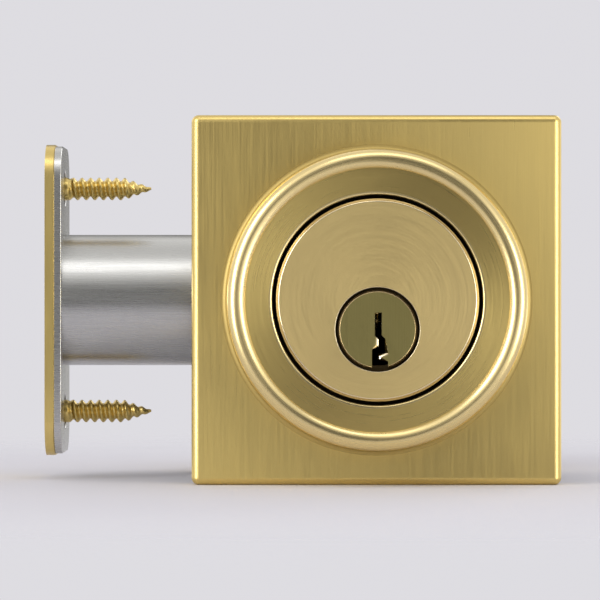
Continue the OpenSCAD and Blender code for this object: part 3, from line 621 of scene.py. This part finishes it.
def threaded(node, axis, cut, tip, centres, major, depth, pitch, taper):
    """A node's screws, with their heads kept from the CAD mesh and their shanks threaded.

    cut is where each thread starts along the axis, tip where it ends, and taper how long the
    point is there. centres are the screws' places across the axis, and major their radius."""
    towards = 1 if tip > cut else -1
    along = Vector([float(letter == axis) for letter in "xyz"])
    others = [Vector([float(letter == other) for letter in "xyz"])
              for other in "xyz" if other != axis]
    bm = cad_mesh(node)
    plane = cut + towards * HEAD_LAP
    bmesh.ops.bisect_plane(bm, geom=bm.verts[:] + bm.edges[:] + bm.faces[:],
                           plane_co=along * plane, plane_no=along * towards, clear_outer=True)
    bmesh.ops.holes_fill(bm, edges=[e for e in bm.edges if e.is_boundary])
    length = abs(tip - cut)
    rows = int(length / pitch * THREAD_ROWS)
    for centre in centres:
        rings = []
        for k in range(rows + 1):
            s = length * k / rows
            shrink = min(1.0, SCREW_POINT + (1 - SCREW_POINT) * (length - s) / taper)
            fade = min(1.0, s / pitch)
            ring = []
            for i in range(THREAD_POINTS):
                a = 2 * math.pi * i / THREAD_POINTS
                phase = (s / pitch - i / THREAD_POINTS) % 1.0
                crest = CREST_SLOPE * (1 - abs(2 * phase - 1)) - ROOT_FLAT
                crest = min(1.0, max(0.0, crest))
                radius = (major - depth * fade * (1 - crest)) * shrink
                ring.append(along * (cut + towards * s)
                            + others[0] * (centre[0] + radius * math.cos(a))
                            + others[1] * (centre[1] + radius * math.sin(a)))
            rings.append(ring)
        close_rings(bm, rings, cap_start=True, cap_end=True)
    piece = link("fine_" + node, bm, FINISH[SLOT_OF[node]], smooth_angle=32)
    return stand_for(piece, node)


# ---------------------------------------------------------------- outside face and key slot
SIDE_ON = 0.3                   # a face looks sideways if its normal's |y| is under this,
FACE_ON = 0.95                  # straight out if it is over this, and else is a chamfer
KEY_LEAD = 0.80 * MM            # bevel of the key slot's mouth at the wards
KEY_LEAD_TOP = -1.5 * MM        # the wards' bevel starts this far below the plug's middle
PLUG_EDGE = 0.06 * MM           # rounding of the plug's other sharp edges
PLUG_CREASE = 50                # which are those sharper than this many degrees
PLUG_FRONT_R = 6.3 * MM         # the plug's flat front ends at this radius
PLUG_CHAMFER_R = 6.0 * MM       # its chamfer lies outside this radius
PLUG_CHAMFER = 0.39 * MM        # and no deeper than this
FACE_CHAMFER = 0.49 * MM        # the housing's chamfer is no deeper than this
SHELL_FRONT = 0.25 * MM         # the shell's front is near-black to this depth, painted shade where the plug's gap shows it
HOUSING_FRONT = 0.05 * MM       # the housing's sideways faces are near-black, painted shade, behind this depth
HOUSING_BACK = 1 * MM           # and all its faces behind this one


def paint(piece, material, test):
    """Gives the faces that pass a test another material."""
    mesh = piece.data
    mesh.materials.append(material)
    for face in mesh.polygons:
        if test(face.center, face.normal):
            face.material_index = len(mesh.materials) - 1


def from_spindle(point):
    return math.hypot(point.x, point.z - SPINDLE_Z)


def cylinder_plug():
    """The plug, with the mouth of its key slot bevelled at the wards and rounded elsewhere."""
    node = "cylinder_plug"
    front = low(node).y
    bm = cad_mesh(node)
    mouth = [e for e in bm.edges
             if all(abs(v.co.y - front) < TOUCHING and from_spindle(v.co) < PLUG_FRONT_R
                    for v in e.verts)]
    wards = [e for e in mouth
             if all(v.co.z - SPINDLE_Z < KEY_LEAD_TOP for v in e.verts)]
    bmesh.ops.bevel(bm, geom=wards, offset=KEY_LEAD, offset_type="OFFSET", segments=2,
                    profile=0.5, affect="EDGES", material=1, clamp_overlap=True)
    piece = link("fine_" + node, bm, FINISH[SLOT_OF[node]], smooth_angle=CREASE)
    round_edges(piece, PLUG_EDGE, angle=PLUG_CREASE, segments=2, miter="MITER_SHARP")
    paint(piece, bright_brass,
          lambda at, way: at.y < front + PLUG_CHAMFER and SIDE_ON < abs(way.y) < FACE_ON
          and from_spindle(at) > PLUG_CHAMFER_R)
    # Painted shade: near-black brass on the plug's sideways faces in the gap round it
    paint(piece, painted_shade_brass,
          lambda at, way: abs(way.y) < SIDE_ON and from_spindle(at) > PLUG_FRONT_R)
    return stand_for(piece, node)


def cylinder_shell():
    front = low("cylinder_shell").y
    piece = finer("cylinder_shell", 0.2 * MM)
    # Painted shade: the shell's front, seen through the plug's gap, is near-black brass
    paint(piece, painted_shade_brass, lambda at, way: at.y < front + SHELL_FRONT)


def cylinder_housing():
    front = low("cylinder_housing").y
    piece = finer("cylinder_housing", 0.1 * MM)
    paint(piece, bright_brass,
          lambda at, way: at.y < front + FACE_CHAMFER and SIDE_ON < abs(way.y) < FACE_ON)
    # Painted shade: near-black brass in the housing's bore and on its faces behind the front
    paint(piece, painted_shade_brass,
          lambda at, way: (at.y > front + HOUSING_BACK
                           or at.y > front + HOUSING_FRONT and abs(way.y) < SIDE_ON))


# ---------------------------------------------------------------- build the pieces
EDGE_HEAD_R = 4.05 * MM         # the screws' heads, to find their middles from the nodes' boxes
LONG_HEAD_R = 4.3 * MM
COIL_WIRE_R = 0.18 * MM
COIL_TURNS = 6

exterior_rose()
cylinder_housing()
cylinder_shell()
cylinder_plug()
thumb_turn()

edge_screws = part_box("edge_screws")
screw_z = (edge_screws[1].z - edge_screws[0].z) / 2 - EDGE_HEAD_R
threaded("edge_screws", "x", cut=-57.0 * MM, tip=edge_screws[1].x,
         centres=[(0, -screw_z), (0, screw_z)],
         major=2.1 * MM, depth=0.65 * MM, pitch=1.6 * MM, taper=5.0 * MM)
long_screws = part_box("mounting_screws")
screw_x = (long_screws[1].x - long_screws[0].x) / 2 - LONG_HEAD_R
threaded("mounting_screws", "y", cut=6.0 * MM, tip=long_screws[0].y,
         centres=[(-screw_x, 0), (screw_x, 0)],
         major=2.4 * MM, depth=0.42 * MM, pitch=0.8 * MM, taper=0.5 * MM)

# How far each remaining node's sharp edges are rounded, in millimetres
SOFT_EDGE = {
    "exterior_liner": 0.3, "bore_ring": 0.15, "shell_clip": 0.1,
    "chamber_cover": 0.1, "drill_pins": 0.1, "plug_clip": 0.08, "tailpiece": 0.2,
    "tail_retainer": 0.08, "faceplate": 0.25, "edge_plate": 0.15, "latch_tube": 0.12,
    "case_plate_outer": 0.12, "case_plate_inner": 0.12, "case_rivets": 0.15,
    "tube_rivets": 0.15, "brake_spring": 0.06, "drive_cam": 0.25, "dead_bolt": 0.35,
    "saw_pin": 0.12, "bolt_tail": 0.25, "bolt_tail_pins": 0.15, "interior_rose": 0.15,
    "interior_liner": 0.3, "turn_bushing": 0.2, "spring_washer": 0.06, "turn_clip": 0.1,
}
for node, width in SOFT_EDGE.items():
    finer(node, width * MM)
for i in range(1, 6):
    finer(f"key_pin_{i}", 0.08 * MM)
    finer(f"driver_pin_{i}", 0.12 * MM)
    spring = coil(f"spring_{i}", f"pin_spring_{i}", COIL_TURNS, COIL_WIRE_R)
    stand_for(spring, f"pin_spring_{i}")
    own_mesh(spring)


# ---------------------------------------------------------------- floor, light, camera
PALE = (0.73, 0.72, 0.755)      # the backing's colour
FLOOR_SHADE = 0.95              # the floor's, as a share of it
FLOOR_CLEAR = (0.08, 0.24)      # the floor is whole inside this distance and gone past it
FLOOR_SPARE = 1.1               # how much wider its sheet is than that


def stage():
    """A pale floor under the lock that fades away, so that no horizon shows."""
    ground = min(corner[2] for corner in cad_box)
    reach = FLOOR_CLEAR[1] * FLOOR_SPARE
    mesh = bpy.data.meshes.new("floor")
    mesh.from_pydata([(-reach, -reach, ground), (reach, -reach, ground), (reach, reach, ground),
                      (-reach, reach, ground)], [], [(0, 1, 2, 3)])
    floor = bpy.data.objects.new("floor", mesh)
    bpy.context.scene.collection.objects.link(floor)
    material, tree, shader = new_material("pale_floor")
    shader.inputs["Base Color"].default_value = (*[c * FLOOR_SHADE for c in PALE], 1)
    shader.inputs["Roughness"].default_value = 0.75
    shader.inputs["Specular IOR Level"].default_value = 0.2
    place = add_node(tree, "ShaderNodeTexCoord").outputs["Object"]
    clear = add_node(tree, "ShaderNodeBsdfTransparent")
    mix = add_node(tree, "ShaderNodeMixShader")
    feed(tree, mix, (ramp(tree, vector_node(tree, "LENGTH", place), *FLOOR_CLEAR, 0, 1),
                     shader.outputs[0], clear.outputs[0]))
    tree.links.new(mix.outputs[0], tree.nodes["Material Output"].inputs["Surface"])
    mesh.materials.append(material)


# Each softbox's place, width, height and power in watts. All are aimed at the lock.
SOFTBOXES = {
    "left": ((-0.75, -0.62, 0.2), 0.3, 0.9, 5.0),
    "right": ((0.75, -0.62, -0.1), 0.3, 0.9, 4.0),
    "top": ((0.1, -0.45, 0.9), 0.8, 0.3, 1.2),
    "behind": ((0.5, 0.9, 0.5), 0.5, 0.5, 1.6),
}


def softbox(name, place, width, height, power):
    data = bpy.data.lights.new(name, "AREA")
    data.shape = "RECTANGLE"
    data.size = width
    data.size_y = height
    data.energy = power
    lamp = bpy.data.objects.new(name, data)
    bpy.context.scene.collection.objects.link(lamp)
    lamp.location = place
    lamp.rotation_euler = (-Vector(place)).to_track_quat("-Z", "Y").to_euler()


# What the metal reflects, by direction. x, y and z are the parts of the direction's unit vector.
DARK_POLE = 0.20        # brightness straight in front of and behind the lock
BRIGHT_BELT = 1.15      # brightness at a slant
LEVEL_SHARE = 0.72      # and the share of it that is left all round the lock's sides
SIDE_CARDS = 0.55       # how much brighter it is a little to either side than above and below
CORNER_CARDS = 0.75     # how much brighter the upper left and lower right are
RIGHT_CARD = 0.26       # how much brighter the right is than the left
DARKEST = 0.05
POLE_FADE = (0.97, 0.70)    # from |y| at the pole's edge to |y| at the belt's
LEVEL_FADE = (0.25, 0.62)   # from |y| at the sides to |y| at the belt's other edge
CARD_FADE = (0.35, 0.65)    # the cards fade in over this range of |y|
SIDE_FADE = 0.08            # the cards' edges, to either side of equal x*x and z*z,
CORNER_FADE = 0.02          # of no xz,
RIGHT_FADE = 0.15           # and of no x
CARD_WHITE = (1.0, 0.99, 0.97)


def studio():
    """A pale room for the floor; metal reflects dark cards in front and behind, with brighter
    ones to either side of them, and brighter towards the upper left and lower right."""
    world = bpy.data.worlds.new("studio")
    bpy.context.scene.world = world
    world.use_nodes = True
    tree = world.node_tree
    tree.nodes.clear()
    room = add_node(tree, "ShaderNodeBackground")
    room.inputs["Color"].default_value = (*PALE, 1)
    cards = add_node(tree, "ShaderNodeBackground")
    cards.inputs["Color"].default_value = (*CARD_WHITE, 1)
    way = add_node(tree, "ShaderNodeSeparateXYZ")
    tree.links.new(add_node(tree, "ShaderNodeTexCoord").outputs["Generated"], way.inputs[0])
    x, y, z = (way.outputs[letter] for letter in "XYZ")
    pole = math_node(tree, "ABSOLUTE", y)
    belt = math_node(tree, "MULTIPLY", ramp(tree, pole, *POLE_FADE, DARK_POLE, BRIGHT_BELT),
                     ramp(tree, pole, *LEVEL_FADE, LEVEL_SHARE, 1.0))
    flatness = math_node(tree, "SUBTRACT", math_node(tree, "MULTIPLY", x, x),
                         math_node(tree, "MULTIPLY", z, z))
    uneven = [ramp(tree, value, -fade, fade, -card / 2, card / 2) for value, fade, card in (
        (flatness, SIDE_FADE, SIDE_CARDS),
        (math_node(tree, "MULTIPLY", x, z), -CORNER_FADE, CORNER_CARDS),
        (x, RIGHT_FADE, RIGHT_CARD))]
    uneven = math_node(tree, "ADD", uneven[2], math_node(tree, "ADD", uneven[0], uneven[1]))
    light = math_node(tree, "ADD", belt,
                      math_node(tree, "MULTIPLY", uneven, ramp(tree, pole, *CARD_FADE, 0, 1)))
    tree.links.new(math_node(tree, "MAXIMUM", light, DARKEST), cards.inputs["Strength"])
    ray = add_node(tree, "ShaderNodeLightPath")
    mix = add_node(tree, "ShaderNodeMixShader")
    feed(tree, mix, (ray.outputs["Is Glossy Ray"], room.outputs[0], cards.outputs[0]))
    tree.links.new(mix.outputs[0], add_node(tree, "ShaderNodeOutputWorld").inputs["Surface"])
    for name, settings in SOFTBOXES.items():
        softbox(name, *settings)


LENS = 220              # in mm; the photo looks straight on, with hardly any perspective
MARGIN = 1.13           # the picture's width, as a share of the lock's


def camera():
    data = bpy.data.cameras.new("camera")
    data.lens = LENS
    data.clip_end = 50
    low_corner, high_corner = Vector(cad_box[0]), Vector(cad_box[1])
    centre = (low_corner + high_corner) / 2
    distance = (high_corner.x - low_corner.x) * MARGIN * data.lens / data.sensor_width
    view = bpy.data.objects.new("camera", data)
    bpy.context.scene.collection.objects.link(view)
    view.location = (centre.x, low_corner.y - distance, 0.0)
    view.rotation_euler = (math.pi / 2, 0, 0)
    bpy.context.scene.camera = view


stage()
studio()
camera()
bpy.context.scene.view_settings.view_transform = "Standard"
